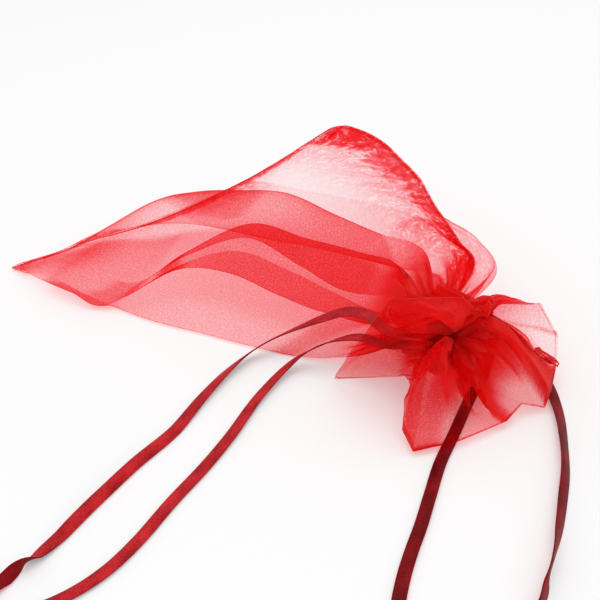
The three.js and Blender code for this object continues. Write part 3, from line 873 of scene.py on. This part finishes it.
def cloth_coordinates(rows):
    """Place across and along the cloth of each grid point in mm, with the first column again at the end."""
    steps = np.linalg.norm(np.roll(rows, -1, axis=1) - rows, axis=2)
    across = np.concatenate([np.zeros((len(rows), 1)), np.cumsum(steps, axis=1)], axis=1)
    across *= CLOTH_ROUND / across[:, -1:]
    rise = np.linalg.norm(np.diff(rows, axis=0), axis=2).mean(axis=1)
    along = np.concatenate([[0], np.cumsum(rise)])
    return np.stack([across, np.broadcast_to(along[:, None], across.shape)], axis=-1) / MM


def crush_map(cloth):
    """How creased the cloth is, most beside its seams, and how far it may crinkle, not at all on them."""
    from_seam = np.abs(cloth[:, :-1, 0] - cloth[:, PANEL_COLUMNS, None, 0])
    from_bottom = cloth[:, :-1, 1]
    fade = 1 - smoothstep(*SEAM_CREASE_ENDS, from_bottom)
    front = np.where(np.arange(COLUMNS) <= PANEL_COLUMNS, 1, BACK_CREASE)
    beside_seam = np.exp(-(from_seam / SEAM_CREASE_REACH) ** 3) * fade * front
    towards_tip = 1 - TIP_CREASE_LOSS * smoothstep(*TIP_CREASE_FADE, from_seam)
    beside_bottom = BOTTOM_CREASE * np.exp(-(from_bottom / BOTTOM_CREASE_REACH) ** 2) * towards_tip
    off_seams = smoothstep(0, FLAT_BESIDE_SIDE, from_seam) * smoothstep(0, FLAT_BESIDE_BOTTOM, from_bottom)
    return np.maximum(beside_seam, beside_bottom), off_seams


def both_layers(values):
    """Values of the frill's rows out to its edge, then of those back inside."""
    return np.concatenate([values, values[-2::-1]])


def density_map(rows):
    """How tightly the cloth is gathered at each grid point."""
    steps = np.linalg.norm(np.roll(rows, -1, axis=1) - rows, axis=2)
    gather = np.clip(CLOTH_ROUND / steps.sum(axis=1), *ROW_BUNCH)[:, None] * np.ones((1, COLUMNS))

    # Frill, by the bunching given at its crown and edge
    at_crown, at_edge = round_frill([control[3] for control in FRILL]).T
    frill = slice(BODY_ROWS + CASING_ROWS, BODY_ROWS + CASING_ROWS + 2 * FRILL_ROWS - 1)
    frill_shares = np.linspace(0, 1, FRILL_ROWS)
    past_crown = smoothstep(*PAST_CROWN, frill_shares)[:, None]
    gather[frill] *= both_layers(at_crown + (at_edge - at_crown) * past_crown)

    # Body, part by part
    lines = FRONT_LINES[:-1] + BACK_LINES[:-1]
    first_columns = np.concatenate([[0], np.cumsum([line[0] for line in lines])])
    shares = np.linspace(0, 1, BODY_ROWS)
    for first, last, lows, highs, factor in BODY_BUNCH:
        columns = slice(first_columns[lines.index(first)], first_columns[lines.index(last)])
        low, high = [np.linspace(*limits, columns.stop - columns.start) for limits in (lows, highs)]
        after = smoothstep(low - BUNCH_BLUR, low + BUNCH_BLUR, shares[:, None])
        before = 1 - smoothstep(high - BUNCH_BLUR, high + BUNCH_BLUR, shares[:, None])
        gather[:BODY_ROWS, columns] *= 1 + (factor - 1) * after * before

    # Neck, where everything is drawn together
    from_neck = np.zeros(len(rows))
    from_neck[:BODY_ROWS] = 1 - smoothstep(NECK_BUNCH_STARTS, 1, shares)
    from_neck[frill] = both_layers(smoothstep(0, NECK_BUNCH_ENDS, frill_shares))
    return gather * (NECK_BUNCH + (1 - NECK_BUNCH) * from_neck)[:, None]


def turned_in_strips(rows, cloth):
    """Cloth turned inside along the bottom and the far seam: shapes, and densities that fade raggedly."""
    inside = rows - LAYER_GAP * surface_normals(rows)
    inside[:, :, 2] = np.maximum(inside[:, :, 2], CLEARANCE)

    bottom = (slice(0, BOTTOM_ROWS), slice(0, PANEL_COLUMNS))
    depth_in_bottom = np.linspace(0, 1, BOTTOM_ROWS)[:, None]
    from_tip = smoothstep(*TIP_FADE, np.linspace(0, 1, PANEL_COLUMNS))[None, :]
    bottom_density = BOTTOM_BUNCH * (TIP_SHARE + (1 - TIP_SHARE) * from_tip)

    side = (slice(0, BODY_ROWS), slice(PANEL_COLUMNS - SIDE_COLUMNS, PANEL_COLUMNS + 1))
    depth_in_side = np.linspace(1, 0, SIDE_COLUMNS + 1)[None, :]
    at_corner = 1 - smoothstep(*CORNER_FADE, np.linspace(0, 1, BODY_ROWS)[:, None])
    side_density = SIDE_BUNCH + (CORNER_BUNCH - SIDE_BUNCH) * at_corner

    shapes, densities = [], []
    for part, depth, density in ((bottom, depth_in_bottom, bottom_density),
                                 (side, depth_in_side, side_density)):
        shapes.append(grid_shape(inside[part], cloth[part], closed=False))
        ragged = depth + RAGGED_DEPTH * rough(cloth[part], RAGGED_SIZE, RAGGED_SEED)
        densities.append(density * (1 - smoothstep(*RAGGED_FADE, ragged)))
    return shapes, densities


def cloth_piece():
    """The pouch's cloth with its two densities as attributes, and its grid of points."""
    rows = cloth_grid()
    cloth = cloth_coordinates(rows)
    crush, off_seams = crush_map(cloth)
    crinkle = sum(height * rough(cloth[:, :-1], size, seed) for height, size, seed in CRINKLES)
    rows = rows + surface_normals(rows) * (crush * off_seams * crinkle * MM)[..., None]
    rows[:, :, 2] = np.maximum(rows[:, :, 2], CLEARANCE)
    strip_shapes, strip_densities = turned_in_strips(rows, cloth)
    shapes = [grid_shape(rows, cloth, closed=True)] + strip_shapes
    gathers = [density_map(rows)] + strip_densities
    crushes = [crush] + [np.full(density.shape, STRIP_CREASE) for density in strip_densities]
    piece = mesh_piece("organza_bag", merged(shapes), ORGANZA, "pouch_cloth")
    for name, parts in (("gather", gathers), ("crush", crushes)):
        values = np.concatenate([part.ravel() for part in parts]).astype(np.float32)
        piece.data.attributes.new(name, "FLOAT", "POINT").data.foreach_set("value", values)
    return piece, rows


bag, bag_rows = cloth_piece()


# Sewing

INWARD_ROWS = 4
INWARD_COLUMNS = 3
NORMAL_STEPS = 2


def overlock_shape(edge, inward, normal, pitch=OVERLOCK_PITCH, loop_depth=OVERLOCK_DEPTH,
                   loop_height=OVERLOCK_HEIGHT, radius=THREAD_RADIUS):
    """Thread wrapped round a seam's edge, and the needle thread that runs beside it."""
    places = np.arange(0, chord_knots(edge)[-1], pitch / LOOP_POINTS)
    line, inward, normal = [along_line(edge, values, places) for values in (edge, inward, normal)]
    uneven = rough(np.stack([places / MM, places], axis=1), UNEVEN_SIZE, UNEVEN_SEED)
    turn = 2 * math.pi * places / pitch + UNEVEN_TURN * uneven
    depth = loop_depth / 2 * (1 - np.cos(turn))[:, None]
    wrap = line + inward * depth + normal * loop_height * np.sin(turn)[:, None]
    sway = NEEDLE_SWAY * np.sin(turn / 2)[:, None]
    needle = line + inward * (loop_depth + sway) + normal * radius * 2
    for path in (wrap, needle):
        path[:, 2] = np.maximum(path[:, 2], radius * 1.5)
    return merged([tube_shape(wrap, radius), tube_shape(needle, radius)])


def casing_stitches(row):
    """Running stitches on the outside of the casing along one row of the cloth."""
    ring = bag_rows[row]
    middle = NECK + MOUTH * ((ring - NECK) @ MOUTH).mean()
    outward = unit(ring - middle)
    columns = COLUMNS // CASING_STITCHES
    lift = THREAD_RADIUS * np.sin(np.linspace(-STITCH_DIP, math.pi + STITCH_DIP, columns))
    shapes = []
    for stitch in range(CASING_STITCHES):
        picked = (stitch * columns + np.arange(columns)) % COLUMNS
        shapes.append(tube_shape(ring[picked] + outward[picked] * lift[:, None], THREAD_RADIUS))
    return merged(shapes)


bag_normals = surface_normals(bag_rows)

# Bottom seam, along the first row of the front panel
front = slice(0, PANEL_COLUMNS + 1)
bottom_edge = bag_rows[0, front]
bottom_inward = unit(bag_rows[INWARD_ROWS, front] - bottom_edge)
bottom_shape = overlock_shape(bottom_edge, bottom_inward, bag_normals[NORMAL_STEPS, front])
mesh_piece("bottom_seam", bottom_shape, THREAD, "bottom_seam_thread")

# Side seam, where the two panels meet
body = slice(0, BODY_ROWS)
side_edge = bag_rows[body, PANEL_COLUMNS]
side_inward = unit(bag_rows[body, PANEL_COLUMNS - INWARD_COLUMNS] - side_edge)
side_shape = overlock_shape(side_edge, side_inward, bag_normals[body, PANEL_COLUMNS - NORMAL_STEPS])
mesh_piece("side_seam", side_shape, THREAD, "side_seam_thread")

# Twist of thread where the side seam ends at the frill's edge
hem_row = BODY_ROWS + CASING_ROWS + FRILL_ROWS - 1
hem = slice(hem_row - SEAM_END_ROWS, hem_row + 1)
hem_edge = bag_rows[hem, PANEL_COLUMNS]
hem_inward = unit(bag_rows[hem, PANEL_COLUMNS + INWARD_COLUMNS] - hem_edge)
hem_shape = overlock_shape(hem_edge - hem_inward * SEAM_END_DEPTH / 2, hem_inward,
                           bag_normals[hem, PANEL_COLUMNS], SEAM_END_PITCH, SEAM_END_DEPTH,
                           SEAM_END_HEIGHT, SEAM_END_RADIUS)
seam_end = mesh_piece("frill_seam_end", hem_shape, THREAD)
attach(seam_end, "root")

# Stitches on both sides of the casing
for place, row in (("lower", BODY_ROWS), ("upper", BODY_ROWS + CASING_ROWS - 1)):
    mesh_piece(f"{place}_stitches", casing_stitches(row), THREAD, f"casing_thread_{place}")


# Floor, light and view

FLOOR_HALF = 3.0
FLOOR_COLOUR = (0.985, 0.985, 0.985, 1)
FLOOR_GLOW = 0.2
SOFTBOX_SIZE = 0.6
SOFTBOX_WATTS = 0.9
SOFTBOX_TARGET = Vector((0, 0, 0.01))
SOFTBOXES = [("overhead_softbox", (0.12, 0.25, 0.7)), ("front_softbox", (-0.1, -0.6, 0.45))]
WORLD_STRENGTH = 0.8
SHEER_LAYERS = 32


def floor_material():
    """White floor that keeps the shadows but is seen a little paler than its light alone would make it."""
    nodes = Nodes("white_floor")
    plain = nodes.add("ShaderNodeBsdfDiffuse")
    plain.inputs["Color"].default_value = FLOOR_COLOUR
    white = nodes.add("ShaderNodeEmission")
    white.inputs["Strength"].default_value = 1.0
    rays = nodes.add("ShaderNodeLightPath").outputs
    seen = nodes.math("MAXIMUM", rays["Is Camera Ray"], rays["Is Glossy Ray"])
    seen = nodes.math("MAXIMUM", seen, rays["Is Transmission Ray"])
    share = nodes.math("MULTIPLY", seen, FLOOR_GLOW)
    return nodes.finish(nodes.mix(share, plain.outputs[0], white.outputs[0]))


floor_corners = np.array([[(-FLOOR_HALF, -FLOOR_HALF, 0), (FLOOR_HALF, -FLOOR_HALF, 0)],
                          [(-FLOOR_HALF, FLOOR_HALF, 0), (FLOOR_HALF, FLOOR_HALF, 0)]])
floor_shape = grid_shape(floor_corners, floor_corners[:, :, :2], closed=False)
floor = mesh_piece("floor", floor_shape, floor_material())

for name, place in SOFTBOXES:
    light = bpy.data.lights.new(name, "AREA")
    light.size = SOFTBOX_SIZE
    light.energy = SOFTBOX_WATTS
    lamp = bpy.data.objects.new(name, light)
    lamp.location = place
    lamp.rotation_euler = (SOFTBOX_TARGET - Vector(place)).to_track_quat("-Z", "Y").to_euler()
    bpy.context.scene.collection.objects.link(lamp)

world = bpy.data.worlds.new("studio")
world.use_nodes = True
background = world.node_tree.nodes["Background"]
background.inputs["Color"].default_value = (1, 1, 1, 1)
background.inputs["Strength"].default_value = WORLD_STRENGTH
bpy.context.scene.world = world
bpy.context.scene.view_settings.view_transform = "Standard"
bpy.context.scene.cycles.transparent_max_bounces = SHEER_LAYERS
